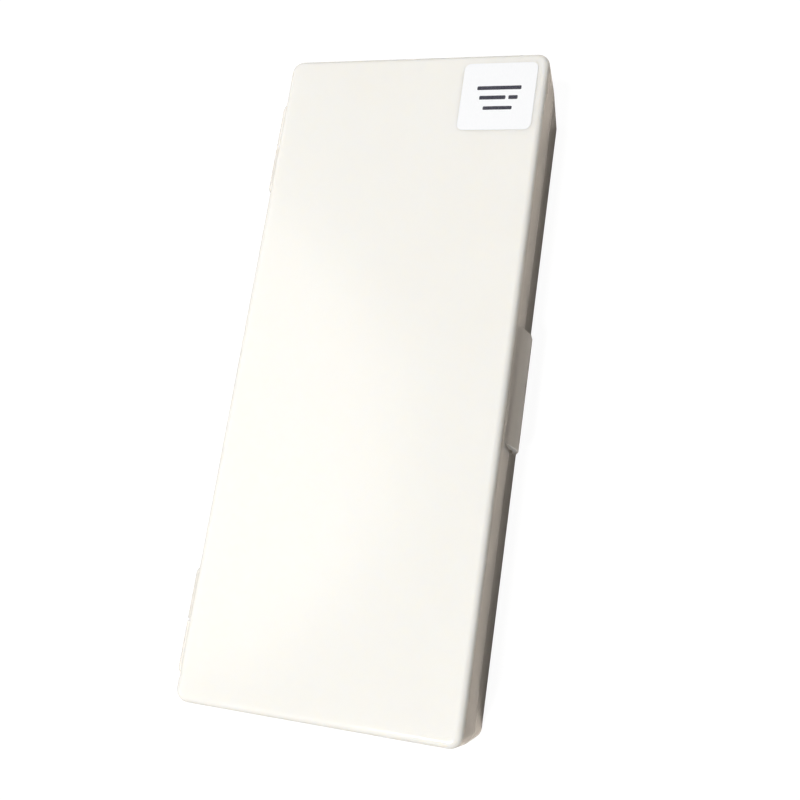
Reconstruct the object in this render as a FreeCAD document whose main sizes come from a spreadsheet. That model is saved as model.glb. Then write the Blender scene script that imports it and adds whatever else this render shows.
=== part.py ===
import FreeCAD, Part
import math
import os
import re
import Sketcher
from FreeCAD import Vector

# A hinged plastic box for microscope slides, with the slides standing in it.
#
# The base tray and the lid are moulded halves with a half-lap joint between their rims. Two hinges on one
# long side turn on steel pins, and a flap on the lid closes over a catch on the other long side. Inside,
# ribs along both long walls form one slot for each slide.
#
# Frame: the origin is at the middle of the underside. +X runs along the length, towards the end with the
# label on the lid, +Y points to the hinges and +Z points up. Sizes are in millimetres, angles in degrees.

SIZES = {
    # glass slides and what lies on them
    "slide_length": 76.2,
    "slide_width": 25.4,
    "slide_thickness": 1.1,
    "slide_count": 50,
    "specimen_radius": 4.5,
    "specimen_thickness": 0.08,
    "cover_slip_margin": 1.7,
    "cover_slip_gap": 5.4,
    "cover_slip_thickness": 0.15,
    "slide_label_length": 21.0,
    "slide_label_margin": 0.7,
    "slide_label_thickness": 0.1,
    # slots
    "slot_pitch": 3.9,
    "slot_width": 1.8,
    "slot_depth": 3.0,
    "slide_end_gap": 0.4,
    "bank_thickness": 1.8,
    "rib_drop": 1.5,
    "rib_draft": 1.0,
    "end_room": 2.75,
    # moulded shell
    "wall": 2.2,
    "floor_thickness": 2.0,
    "roof_thickness": 2.0,
    "headroom": 5.6,
    "lid_depth": 15.5,
    "shell_draft": 1.4,
    "corner_radius": 4.2,
    "top_edge_radius": 2.1,
    "bottom_edge_radius": 1.7,
    "rim_edge_radius": 0.3,
    "lap_gap": 0.15,
    "tongue_height": 1.4,
    "tongue_top_gap": 0.2,
    # hinges
    "hinge_inset": 23.3,
    "knuckle_length": 16.7,
    "knuckle_radius": 3.4,
    "knuckle_gap": 0.4,
    "knuckle_wall_gap": 0.7,
    "knuckle_end_radius": 2.6,
    "knuckle_edge_radius": 0.5,
    "pin_radius": 1.0,
    "pin_running_gap": 0.05,
    "pin_seat_depth": 12.0,
    "pin_tip_gap": 0.2,
    "pin_recess": 0.5,
    "pin_chamfer": 0.3,
    # latch flap on the lid and catch ridge on the base
    "latch_length": 36.0,
    "latch_gap": 0.6,
    "latch_drop": 5.2,
    "latch_foot": 0.9,
    "latch_flare": 11.5,
    "lip_proud": 2.4,
    "lip_above": 0.8,
    "lip_below": 2.5,
    "lip_radius": 0.6,
    "latch_end_radius": 0.7,
    "hook_proud": 0.3,
    "hook_height": 1.2,
    "catch_length": 24.0,
    "catch_drop": 1.7,
    "catch_rise": 1.2,
    "catch_proud": 0.15,
    # paper on the lid
    "label_size": 22.7,
    "label_corner_radius": 2.0,
    "label_thickness": 0.12,
    "label_end_inset": 3.9,
    "label_side_inset": 3.5,
    "card_margin": 7.0,
    "card_corner_radius": 2.0,
    "card_thickness": 0.3,
}

# Places worked out from the sizes, as expressions
HALF_WIDTH = "(slide_length / 2 + slide_end_gap + bank_thickness + wall)"
HALF_COMB = "(((slide_count + 1) * slot_pitch - slot_width) / 2)"
HALF_LENGTH = f"({HALF_COMB} + end_room + wall)"
BOX_HEIGHT = "(floor_thickness + slide_width + headroom + roof_thickness)"
RIM = f"({BOX_HEIGHT} - lid_depth)"
SLOT_BOTTOM = "(slide_length / 2 + slide_end_gap)"
SLOT_MOUTH = f"({SLOT_BOTTOM} - slot_depth)"
WALL_MIDDLE = f"({HALF_WIDTH} - wall / 2)"
SKIRT = "((wall - lap_gap) / 2)"
HINGE_X = f"({HALF_LENGTH} - hinge_inset)"
HINGE_Y = f"({HALF_WIDTH} + knuckle_wall_gap + knuckle_radius)"
TANGENT = "(knuckle_radius * sqrt(0.5))"
FIRST_SLOT = "(slot_pitch * (1 - slide_count) / 2)"
RIB_HEIGHT = f"({RIM} - rib_drop - floor_thickness)"
SLIDE_FACE = "(slide_thickness / 2)"
LABEL_START = "(slide_label_margin - slide_length / 2)"
LABEL_STOP = f"({LABEL_START} + slide_label_length)"
COVER_SLIP = "(slide_width - 2 * cover_slip_margin)"
COVER_MIDDLE = f"({LABEL_STOP} + cover_slip_gap + {COVER_SLIP} / 2)"

# How near an edge has to lie to the place that it is picked by
NEAR = 0.01

doc = FreeCAD.newDocument("SlideBox")
sheet = doc.addObject("Spreadsheet::Sheet", "Sizes")


def fill_sheet():
    """Write each size into the sheet, in a row of its own, under its alias."""
    for row, (alias, size) in enumerate(SIZES.items(), start=1):
        sheet.set(f"A{row}", alias)
        sheet.set(f"B{row}", str(size))
        sheet.setAlias(f"B{row}", alias)
    doc.recompute()


def in_sheet(expression):
    """The expression with each size's name pointed at its cell."""
    return re.sub(r"[a-z_]+", lambda word: "Sizes." + word[0] if word[0] in SIZES else word[0], expression)


def number(expression):
    return float(sheet.evalExpression(in_sheet(expression)))


def bind(feature, path, expression):
    feature.setExpression(path, in_sheet(expression))


def new_body(name):
    body = doc.addObject("PartDesign::Body", name)
    body.Label = name
    return body


def origin_feature(body, role):
    return next(feature for feature in body.Origin.OriginFeatures if feature.Role == role)


# Sketches

def new_sketch(body, name, plane, height, across="0", up="0"):
    """A sketch on one of the body's origin planes, raised by height and shifted in its own plane."""
    sketch = body.newObject("Sketcher::SketchObject", name)
    sketch.AttachmentSupport = [(origin_feature(body, plane), "")]
    sketch.MapMode = "FlatFace"
    bind(sketch, "AttachmentOffset.Base.x", across)
    bind(sketch, "AttachmentOffset.Base.y", up)
    bind(sketch, "AttachmentOffset.Base.z", height)
    return sketch


def dimension(sketch, kind, *where, expression):
    """Add one driving dimension and bind it to the sheet."""
    index = sketch.addConstraint(Sketcher.Constraint(kind, *where, number(expression)))
    bind(sketch, f"Constraints[{index}]", expression)


def fix_point(sketch, shape, end, across, up):
    """Fix one point of a sketch shape by its distances from the sketch's origin."""
    for kind, axis, expression in (("DistanceX", -2, across), ("DistanceY", -1, up)):
        if expression == "0":
            sketch.addConstraint(Sketcher.Constraint("PointOnObject", shape, end, axis))
        else:
            dimension(sketch, kind, -1, 1, shape, end, expression=expression)


def draw_circle(sketch, across, up, radius):
    circle = Part.Circle(Vector(number(across), number(up), 0), Vector(0, 0, 1), number(radius))
    shape = sketch.addGeometry(circle, False)
    fix_point(sketch, shape, 3, across, up)
    dimension(sketch, "Radius", shape, expression=radius)


def draw_outline(sketch, corners):
    """Draw a closed outline of lines, from corners (across, up) or rounded corners (across, up, radius)."""
    count = len(corners)
    points = [Vector(number(corner[0]), number(corner[1]), 0) for corner in corners]
    arrive = list(points)
    leave = list(points)
    arcs = {}
    for k, corner in enumerate(corners):
        if len(corner) == 2:
            continue
        back = (points[k - 1] - points[k]).normalize()
        ahead = (points[(k + 1) % count] - points[k]).normalize()
        half_angle = back.getAngle(ahead) / 2
        radius = number(corner[2])
        arrive[k] = points[k] + back * (radius / math.tan(half_angle))
        leave[k] = points[k] + ahead * (radius / math.tan(half_angle))
        centre = points[k] + (back + ahead).normalize() * (radius / math.sin(half_angle))
        ends = [math.atan2(place.y - centre.y, place.x - centre.x) for place in (arrive[k], leave[k])]
        turns_left = ahead.cross(back).z > 0
        arc = Part.ArcOfCircle(Part.Circle(centre, Vector(0, 0, 1), radius), *sorted_turn(ends, turns_left))
        arcs[k] = (sketch.addGeometry(arc, False), (1, 2) if turns_left else (2, 1))
    runs = [Part.LineSegment(leave[k], arrive[(k + 1) % count]) for k in range(count)]
    lines = [sketch.addGeometry(run, False) for run in runs]
    for k, corner in enumerate(corners):
        before = lines[k - 1]
        if k not in arcs:
            sketch.addConstraint(Sketcher.Constraint("Coincident", before, 2, lines[k], 1))
            fix_point(sketch, lines[k], 1, corner[0], corner[1])
            continue
        arc, (first, last) = arcs[k]
        tip = sketch.addGeometry(Part.Point(points[k]), True)
        fix_point(sketch, tip, 1, corner[0], corner[1])
        sketch.addConstraint(Sketcher.Constraint("Tangent", before, 2, arc, first))
        sketch.addConstraint(Sketcher.Constraint("Tangent", lines[k], 1, arc, last))
        sketch.addConstraint(Sketcher.Constraint("PointOnObject", tip, 1, before))
        sketch.addConstraint(Sketcher.Constraint("PointOnObject", tip, 1, lines[k]))
        dimension(sketch, "Radius", arc, expression=corner[2])


def sorted_turn(ends, turns_left):
    """Start and end angle of a corner's arc, anticlockwise."""
    start, stop = ends if turns_left else reversed(ends)
    return start, stop if stop > start else stop + 2 * math.pi


def rectangle(low_x, low_y, high_x, high_y, *radius):
    """Corners of an upright rectangle, rounded where a radius is given."""
    places = ((low_x, low_y), (high_x, low_y), (high_x, high_y), (low_x, high_y))
    return [place + radius for place in places]


def shell_outline(inset):
    """The box's outline seen from above at the rim, moved inwards all round."""
    length = f"({HALF_LENGTH} - {inset})"
    width = f"({HALF_WIDTH} - {inset})"
    return rectangle(f"-{length}", f"-{width}", length, width, f"(corner_radius - {inset})")


# Features

def pad(body, name, sketch, length, draft="0", down=False, symmetric=False):
    feature = body.newObject("PartDesign::Pad", name)
    feature.Profile = sketch
    feature.Reversed = down
    feature.SideType = "Symmetric" if symmetric else "One side"
    bind(feature, "Length", length)
    bind(feature, "TaperAngle", f"-{draft}")
    doc.recompute()
    return feature


def pocket(body, name, sketch, length, draft="0", forward=False):
    """Cut against the sketch's normal, or along it if forward."""
    before = body.Shape.Volume
    feature = body.newObject("PartDesign::Pocket", name)
    feature.Profile = sketch
    feature.Reversed = forward
    bind(feature, "Length", length)
    bind(feature, "TaperAngle", f"-{draft}")
    doc.recompute()
    if not body.Shape.Volume < before:
        raise RuntimeError(f"{name} cuts nothing")
    return feature


def revolve(body, name, sketch):
    feature = body.newObject("PartDesign::Revolution", name)
    feature.Profile = sketch
    feature.ReferenceAxis = (sketch, ["H_Axis"])
    feature.Angle = 360
    doc.recompute()
    return feature


def fillet(body, name, edges, radius):
    base = body.Tip
    feature = body.newObject("PartDesign::Fillet", name)
    feature.Base = (base, edges)
    bind(feature, "Radius", radius)
    doc.recompute()
    return feature


def mirror_along_length(body, name, originals):
    """Repeat features on the other side of the middle of the box's length."""
    feature = body.newObject("PartDesign::Mirrored", name)
    feature.Originals = originals
    feature.MirrorPlane = (origin_feature(body, "YZ_Plane"), [""])
    body.Tip = feature
    doc.recompute()
    return feature


def repeat_at_pitch(body, name, originals, occurrences):
    """Repeat features along the box's length, one slot pitch apart."""
    feature = body.newObject("PartDesign::LinearPattern", name)
    feature.Originals = originals
    feature.Direction = (origin_feature(body, "X_Axis"), [""])
    feature.Mode = "Spacing"
    bind(feature, "Offset", "slot_pitch")
    bind(feature, "Occurrences", occurrences)
    body.Tip = feature
    doc.recompute()
    return feature


def edges_where(shape, chosen):
    """Names of the edges whose bounding box passes the test."""
    return [f"Edge{k}" for k, edge in enumerate(shape.Edges, start=1) if chosen(edge.BoundBox)]


def edges_at_height(shape, height):
    return edges_where(shape, lambda box: abs(box.ZMin - height) < NEAR and abs(box.ZMax - height) < NEAR)


# Hinges: each has one knuckle on the base, outboard, and one on the lid, inboard

def add_knuckles(body, outboard, bore_radius, bore_depth):
    """Add a knuckle, its arm and its bore at one hinge, and the same at the other hinge."""
    way = 1 if outboard else -1
    inner = f"({HINGE_X} + {way} * knuckle_gap / 2)"
    outer = f"({inner} + {way} * knuckle_length)"
    arm_length = "(knuckle_length - knuckle_end_radius)"

    barrel_sketch = new_sketch(body, body.Label + "_barrel_sketch", "XY_Plane", RIM, up=HINGE_Y)
    draw_outline(barrel_sketch, [
        (inner, "0"),
        (outer, "0"),
        (outer, "knuckle_radius", "knuckle_end_radius"),
        (inner, "knuckle_radius", "knuckle_edge_radius"),
    ])

    arm_start = inner if outboard else f"({inner} - {arm_length})"
    arm_sketch = new_sketch(body, body.Label + "_arm_sketch", "YZ_Plane", arm_start)
    tangent_z = f"({RIM} - {way} * {TANGENT})"
    foot_z = f"({tangent_z} - {way} * ({HINGE_Y} + {TANGENT} - {WALL_MIDDLE}))"
    draw_outline(arm_sketch, [
        (WALL_MIDDLE, RIM),
        (HINGE_Y, RIM),
        (f"({HINGE_Y} + {TANGENT})", tangent_z),
        (WALL_MIDDLE, foot_z),
    ])

    bore_sketch = new_sketch(body, body.Label + "_bore_sketch", "YZ_Plane", inner)
    draw_circle(bore_sketch, HINGE_Y, RIM, bore_radius)

    arm = pad(body, body.Label + "_arm", arm_sketch, arm_length)
    barrel = revolve(body, body.Label + "_barrel", barrel_sketch)
    bore = pocket(body, body.Label + "_bore", bore_sketch, bore_depth, forward=outboard)
    mirror_along_length(body, body.Label + "_other_hinge", [arm, barrel, bore])


# The base tray

def make_base_tray():
    body = new_body("base_tray")

    outline = new_sketch(body, "tray_outline", "XY_Plane", RIM)
    draw_outline(outline, shell_outline("0"))
    block = pad(body, "tray_block", outline, RIM, draft="shell_draft", down=True)
    fillet(body, "tray_rim_edge", edges_at_height(block.Shape, number(RIM)), "rim_edge_radius")
    fillet(body, "tray_bottom_edge", edges_at_height(body.Shape, 0), "bottom_edge_radius")

    hollow = new_sketch(body, "tray_hollow_outline", "XY_Plane", RIM)
    draw_outline(hollow, shell_outline("wall"))
    pocket(body, "tray_hollow", hollow, f"{RIM} - floor_thickness", draft="shell_draft")

    tongue = new_sketch(body, "tongue_outline", "XY_Plane", RIM)
    draw_outline(tongue, shell_outline(f"({SKIRT} + lap_gap)"))
    draw_outline(tongue, shell_outline("wall"))
    pad(body, "tongue", tongue, "tongue_height")

    add_slots(body)
    add_catch(body)
    add_knuckles(body, outboard=True, bore_radius="pin_radius", bore_depth="pin_seat_depth")
    return body


def add_slots(body):
    """Line both long walls with a bank, and stand ribs on it, with a slot between each two."""
    banks = new_sketch(body, "bank_outlines", "XY_Plane", "floor_thickness")
    ribs = new_sketch(body, "rib_outlines", "XY_Plane", "floor_thickness")
    rib_end = f"(-{HALF_COMB} + slot_pitch - slot_width)"
    rib_back = f"({SLOT_BOTTOM} + bank_thickness / 2)"
    for side in ("1", "-1"):
        near = f"({side} * {SLOT_BOTTOM})"
        far = f"({side} * {WALL_MIDDLE})"
        draw_outline(banks, rectangle(f"-{HALF_COMB}", near, HALF_COMB, far))
        mouth = f"({side} * {SLOT_MOUTH})"
        back = f"({side} * {rib_back})"
        draw_outline(ribs, rectangle(f"-{HALF_COMB}", mouth, rib_end, back))
    pad(body, "banks", banks, RIB_HEIGHT)
    first_ribs = pad(body, "first_ribs", ribs, RIB_HEIGHT, draft="rib_draft")
    repeat_at_pitch(body, "all_ribs", [first_ribs], "slide_count + 1")


def add_catch(body):
    """The ridge on the front wall that the latch flap's hook closes under."""
    middle = f"({RIM} - catch_drop)"
    profile = new_sketch(body, "catch_profile", "YZ_Plane", "0")
    draw_outline(profile, [
        (f"-{WALL_MIDDLE}", f"({middle} + catch_rise)"),
        (f"-({HALF_WIDTH} + catch_proud)", middle),
        (f"-{WALL_MIDDLE}", f"({middle} - catch_rise)"),
    ])
    pad(body, "catch_ridge", profile, "catch_length", symmetric=True)


# The lid

def make_lid():
    body = new_body("lid")

    outline = new_sketch(body, "lid_outline", "XY_Plane", RIM)
    draw_outline(outline, shell_outline("0"))
    block = pad(body, "lid_block", outline, "lid_depth", draft="shell_draft")
    fillet(body, "lid_rim_edge", edges_at_height(block.Shape, number(RIM)), "rim_edge_radius")
    fillet(body, "lid_top_edge", edges_at_height(body.Shape, number(BOX_HEIGHT)), "top_edge_radius")

    hollow = new_sketch(body, "lid_hollow_outline", "XY_Plane", RIM)
    draw_outline(hollow, shell_outline("wall"))
    pocket(body, "lid_hollow", hollow, "lid_depth - roof_thickness", draft="shell_draft", forward=True)

    rebate = new_sketch(body, "rebate_outline", "XY_Plane", RIM)
    draw_outline(rebate, shell_outline(SKIRT))
    pocket(body, "rebate", rebate, "tongue_height + tongue_top_gap", forward=True)

    add_latch(body)
    running_radius = "(pin_radius + pin_running_gap)"
    add_knuckles(body, outboard=False, bore_radius=running_radius, bore_depth="knuckle_length")
    return body


def add_latch(body):
    """The flap that flares from the lid's wall, passes the rim and hooks under the catch."""
    inner_face = f"({HALF_WIDTH} + latch_gap)"
    hook_face = f"({inner_face} - hook_proud)"
    foot_face = f"({inner_face} + latch_foot)"
    lip_face = f"({HALF_WIDTH} + lip_proud)"
    foot = f"({RIM} - latch_drop)"
    profile = new_sketch(body, "latch_profile", "YZ_Plane", "0")
    draw_outline(profile, [
        (f"-{WALL_MIDDLE}", f"({RIM} + latch_flare)"),
        (f"-{lip_face}", f"({RIM} + lip_above)", "lip_radius"),
        (f"-{lip_face}", f"({RIM} - lip_below)", "lip_radius"),
        (f"-{foot_face}", foot),
        (f"-{hook_face}", foot),
        (f"-{hook_face}", f"({foot} + hook_height)"),
        (f"-{inner_face}", f"({foot} + hook_height + hook_proud)"),
        (f"-{inner_face}", RIM),
        (f"-{WALL_MIDDLE}", RIM),
    ])
    pad(body, "latch_flap", profile, "latch_length", symmetric=True)
    end = number("latch_length") / 2
    lip = number(lip_face)

    def at_lip_end(box):
        at_end = abs(abs(box.XMin) - end) < NEAR and abs(abs(box.XMax) - end) < NEAR
        return at_end and abs(box.YMin + lip) < NEAR

    fillet(body, "latch_ends", edges_where(body.Shape, at_lip_end), "latch_end_radius")


# Hinge pins, slides and paper

def make_hinge_pin(name, side):
    """A pin pressed into the base knuckle's blind bore, on which the lid knuckle turns."""
    body = new_body(name)
    inboard = f"({side} * ({HINGE_X} - knuckle_gap / 2 - knuckle_length + pin_recess))"
    outboard = f"({side} * ({HINGE_X} + knuckle_gap / 2 + pin_seat_depth - pin_tip_gap))"
    neck = "(pin_radius - pin_chamfer)"
    profile = new_sketch(body, name + "_profile", "XY_Plane", RIM, up=HINGE_Y)
    draw_outline(profile, [
        (inboard, "0"),
        (outboard, "0"),
        (outboard, neck),
        (f"({outboard} - {side} * pin_chamfer)", "pin_radius"),
        (f"({inboard} + {side} * pin_chamfer)", "pin_radius"),
        (inboard, neck),
    ])
    revolve(body, name + "_turned", profile)
    return body


def make_slide(index):
    """One glass slide, standing on its long edge in the middle of its slot."""
    name = f"slide_{index + 1:02d}"
    slide = doc.addObject("Part::Box", name)
    slide.Label = name
    bind(slide, "Length", "slide_thickness")
    bind(slide, "Width", "slide_length")
    bind(slide, "Height", "slide_width")
    bind(slide, "Placement.Base.x", f"{FIRST_SLOT} + {index} * slot_pitch - {SLIDE_FACE}")
    bind(slide, "Placement.Base.y", "-slide_length / 2")
    bind(slide, "Placement.Base.z", "floor_thickness")
    return slide


def make_on_slides(name, face, draw, thickness, across="0"):
    """The same thin piece on every slide: face is how far it starts from the middle of the glass."""
    body = new_body(name)
    body.AllowCompound = True
    start = f"{FIRST_SLOT} + {face}"
    outline = new_sketch(body, name + "_outline", "YZ_Plane", start, across=across, up="floor_thickness")
    draw(outline)
    first = pad(body, name + "_first", outline, thickness)
    repeat_at_pitch(body, name + "_all", [first], "slide_count")
    return body


def make_specimens():
    def draw(outline):
        draw_circle(outline, "0", "slide_width / 2", "specimen_radius")
    return make_on_slides("specimens", SLIDE_FACE, draw, "specimen_thickness", across=COVER_MIDDLE)


def make_cover_slips():
    half = f"({COVER_SLIP} / 2)"
    top = "(slide_width - cover_slip_margin)"
    face = f"({SLIDE_FACE} + specimen_thickness)"

    def draw(outline):
        draw_outline(outline, rectangle(f"-{half}", "cover_slip_margin", half, top))
    return make_on_slides("cover_slips", face, draw, "cover_slip_thickness", across=COVER_MIDDLE)


def make_slide_labels():
    top = "(slide_width - slide_label_margin)"

    def draw(outline):
        draw_outline(outline, rectangle(LABEL_START, "slide_label_margin", LABEL_STOP, top))
    return make_on_slides("slide_labels", SLIDE_FACE, draw, "slide_label_thickness")


def make_paper(name, half_length, half_width, radius, thickness, place):
    """A flat rounded rectangle of paper, with the middle of its lower face at place."""
    body = new_body(name)
    outline = new_sketch(body, name + "_outline", "XY_Plane", "0")
    draw_outline(outline, rectangle(f"-{half_length}", f"-{half_width}", half_length, half_width, radius))
    pad(body, name + "_sheet", outline, thickness)
    for axis, expression in zip("xyz", place):
        bind(body, f"Placement.Base.{axis}", expression)
    return body


def make_box_label():
    half = "(label_size / 2)"
    place = (
        f"{HALF_LENGTH} - label_end_inset - {half}",
        f"-({HALF_WIDTH} - label_side_inset - {half})",
        BOX_HEIGHT,
    )
    return make_paper("box_label", half, half, "label_corner_radius", "label_thickness", place)


def make_index_card():
    half_length = f"({HALF_LENGTH} - wall - card_margin)"
    half_width = f"({HALF_WIDTH} - wall - card_margin)"
    place = ("0", "0", f"{BOX_HEIGHT} - roof_thickness - card_thickness")
    return make_paper("index_card", half_length, half_width, "card_corner_radius", "card_thickness", place)


def check(pieces):
    """Stop if anything in the document failed, or if a piece is empty or not valid."""
    for item in doc.Objects:
        if {"Invalid", "Error"} & set(item.State):
            raise RuntimeError(f"{item.Name} failed: {item.State}")
    for piece in pieces:
        if piece.Shape.isNull() or not piece.Shape.isValid() or not piece.Shape.Solids:
            raise RuntimeError(f"{piece.Label} has no valid solid")


def main():
    fill_sheet()
    pieces = [
        make_base_tray(),
        make_lid(),
        make_hinge_pin("hinge_pin_far", "1"),
        make_hinge_pin("hinge_pin_near", "-1"),
        make_specimens(),
        make_cover_slips(),
        make_slide_labels(),
        make_box_label(),
        make_index_card(),
    ]
    pieces += [make_slide(index) for index in range(SIZES["slide_count"])]
    doc.recompute()
    check(pieces)
    os.makedirs("parts", exist_ok=True)
    for piece in pieces:
        piece.Shape.exportStep(f"parts/{piece.Label}.step")
        print(piece.Label, len(piece.Shape.Solids), "solids", round(piece.Shape.Volume, 2), "mm3")


main()
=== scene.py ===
import logging
from dataclasses import dataclass
from enum import Enum
from math import cos, pi, radians, sin, sqrt, tan, tau
from typing import Any, Callable, Sequence

import bmesh
import bpy
from mathutils import Matrix, Vector


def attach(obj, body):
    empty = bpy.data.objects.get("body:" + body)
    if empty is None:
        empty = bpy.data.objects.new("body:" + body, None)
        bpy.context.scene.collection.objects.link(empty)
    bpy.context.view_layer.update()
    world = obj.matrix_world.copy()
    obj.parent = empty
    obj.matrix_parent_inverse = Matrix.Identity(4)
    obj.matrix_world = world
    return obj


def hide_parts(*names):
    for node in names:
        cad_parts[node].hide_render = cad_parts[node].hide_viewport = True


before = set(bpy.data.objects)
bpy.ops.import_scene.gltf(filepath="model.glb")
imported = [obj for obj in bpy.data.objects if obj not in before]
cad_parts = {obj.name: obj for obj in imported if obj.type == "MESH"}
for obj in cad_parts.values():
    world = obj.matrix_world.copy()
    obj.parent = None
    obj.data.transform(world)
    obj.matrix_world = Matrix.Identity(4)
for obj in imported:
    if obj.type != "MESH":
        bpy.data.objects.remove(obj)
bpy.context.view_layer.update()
log = logging.getLogger("slide_box")

Pair = tuple[float, float]  # a point in a plane, or a span from one number to another
Point = tuple[float, float, float]
Colour = tuple[float, float, float, float]
Sockets = tuple[tuple[str, Any], ...]  # names of a node's sockets, and what they are set to
Piece = bpy.types.Object
Material = bpy.types.Material

MM = 0.001
WHITE = (1.0, 1.0, 1.0, 1.0)
SHARP = radians(32)  # the least angle between faces that is shaded as an edge


class Ride(Enum):
    """The two bodies of the box."""

    BASE = "base"
    LID = "lid"


class Slot(Enum):
    """The record's finishes of the pieces that are made here."""

    PLASTIC = "moulded_plastic"
    GLASS = "slide_glass"
    COVER = "cover_glass"
    TISSUE = "stained_specimen"
    SLIDE_LABEL = "label_paper"
    STICKER = "sticker_paper"
    CARD = "index_card_paper"


# ---- Nodes ----


def maths(operation: str) -> Callable[..., "Value"]:
    """A method for Value that adds one Math node of the given operation."""
    def method(self: "Value", *others: Any) -> "Value":
        """Join the value and the others to the node's sockets, in order."""
        return self.nodes.node("ShaderNodeMath", dict(enumerate((self, *others))), operation=operation)
    return method


class Value:
    """A number or a node's output, on which sums are written as in Python."""

    __add__ = __radd__ = maths("ADD")
    __sub__ = maths("SUBTRACT")
    __mul__ = __rmul__ = maths("MULTIPLY")
    __gt__ = maths("GREATER_THAN")
    size = maths("ABSOLUTE")
    wave = maths("SINE")

    def __init__(self, nodes: "Nodes", source: Any) -> None:
        """Keep the nodes that the value belongs to and what it comes from."""
        self.nodes = nodes
        self.source = source

    def __rsub__(self, other: Any) -> "Value":
        """A number less this value."""
        return Value(self.nodes, other) - self

    def ramp(self, low: float, high: float) -> "Value":
        """Nought at low, one at high, and smooth between them."""
        sockets = {"Value": self, "From Min": low, "From Max": high}
        return self.nodes.node("ShaderNodeMapRange", sockets, interpolation_type="SMOOTHSTEP")


class Nodes:
    """The nodes of one tree."""

    def __init__(self, tree: bpy.types.NodeTree) -> None:
        """Start with an empty tree."""
        self.tree = tree
        self.tree.nodes.clear()

    def node(self, kind: str, sockets: dict[Any, Any], output: Any = 0, **settings: Any) -> Value:
        """Add a node.

        Args:
            kind: The node's type.
            sockets: A number, colour or value for each socket, by name or by place.
            output: The name or place of the output to return.
            settings: The node's own settings, which are set before its sockets.

        Returns:
            That output.
        """
        node = self.tree.nodes.new(kind)
        for name, setting in settings.items():
            setattr(node, name, setting)
        for key, given in sockets.items():
            source = given.source if isinstance(given, Value) else given
            if isinstance(source, bpy.types.NodeSocket):
                self.tree.links.new(source, node.inputs[key])
            else:
                node.inputs[key].default_value = source
        return Value(self, node.outputs[output] if node.outputs else None)


@dataclass(frozen=True)
class Noise:
    """Noise from 0 to 1 on a piece, and how much of it each part of a finish takes."""

    size_mm: float  # of its patches
    detail: float = 2.0  # how many finer layers it has
    stretch: Point = (1.0, 1.0, 1.0)  # how many times longer its patches are along each axis
    tint: float = 0.0  # how far it takes the colour towards the shade
    ends: Pair | None = None  # the noise where the tint starts and where it is full
    rough: float = 0.0  # how far it moves the roughness, from the least noise to the most
    relief: float = 0.0  # how high it stands, as a share of the finish's relief


@dataclass(frozen=True)
class Dots:
    """Small scattered dots on a piece, and how much of them each part of a finish takes."""

    spacing_mm: float
    radius_mm: float
    colour: Colour
    tint: float = 1.0  # how far they take the colour towards their own
    relief: float = 0.0
    among: Noise | None = None  # they show where this noise is high


class Shader(Nodes):
    """The nodes of one material."""

    CORE = 0.6  # of a speck's radius, inside its soft edge

    def __init__(self, name: str) -> None:
        """Start an empty material.

        Args:
            name: Its name.
        """
        self.material = bpy.data.materials.new(name)
        self.material.use_nodes = True
        super().__init__(self.material.node_tree)
        self.place = self.node("ShaderNodeTexCoord", {}, "Object")

    def noise(self, pattern: Noise) -> Value:
        """Noise on the piece.

        Args:
            pattern: Its sizes.

        Returns:
            The noise.
        """
        scale = tuple(1 / (pattern.size_mm * MM * longer) for longer in pattern.stretch)
        spot = self.node("ShaderNodeMapping", {"Vector": self.place, "Scale": scale})
        sockets = {"Vector": spot, "Scale": 1.0, "Detail": pattern.detail}
        return self.node("ShaderNodeTexNoise", sockets, "Fac")

    def specks(self, dots: Dots) -> Value:
        """One inside the dots, and nought elsewhere.

        Args:
            dots: Their sizes.

        Returns:
            The mask.
        """
        sockets = {"Vector": self.place, "Scale": 1 / (dots.spacing_mm * MM)}
        distance = self.node("ShaderNodeTexVoronoi", sockets, "Distance")
        radius = dots.radius_mm / dots.spacing_mm
        mask = 1 - distance.ramp(self.CORE * radius, radius)
        return mask * self.noise(dots.among).ramp(*dots.among.ends) if dots.among else mask

    def blend(self, factor: Any, first: Any, second: Any) -> Value:
        """A colour that goes from the first to the second as the factor goes from 0 to 1."""
        return self.node("ShaderNodeMix", {0: factor, 6: first, 7: second}, 2, data_type="RGBA")

    def bump(self, height: Value, depth_mm: float) -> Value:
        """A normal that shows a height from 0 to 1 as relief of the given depth."""
        return self.node("ShaderNodeBump", {"Height": height, "Distance": depth_mm * MM})

    def finish(self, surface: Value) -> Material:
        """Join the surface to the output, and return the material."""
        self.node("ShaderNodeOutputMaterial", {"Surface": surface})
        return self.material

    def principled(self, sockets: dict[str, Any]) -> Material:
        """Finish with a principled surface, and return the material."""
        return self.finish(self.node("ShaderNodeBsdfPrincipled", sockets))


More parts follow.
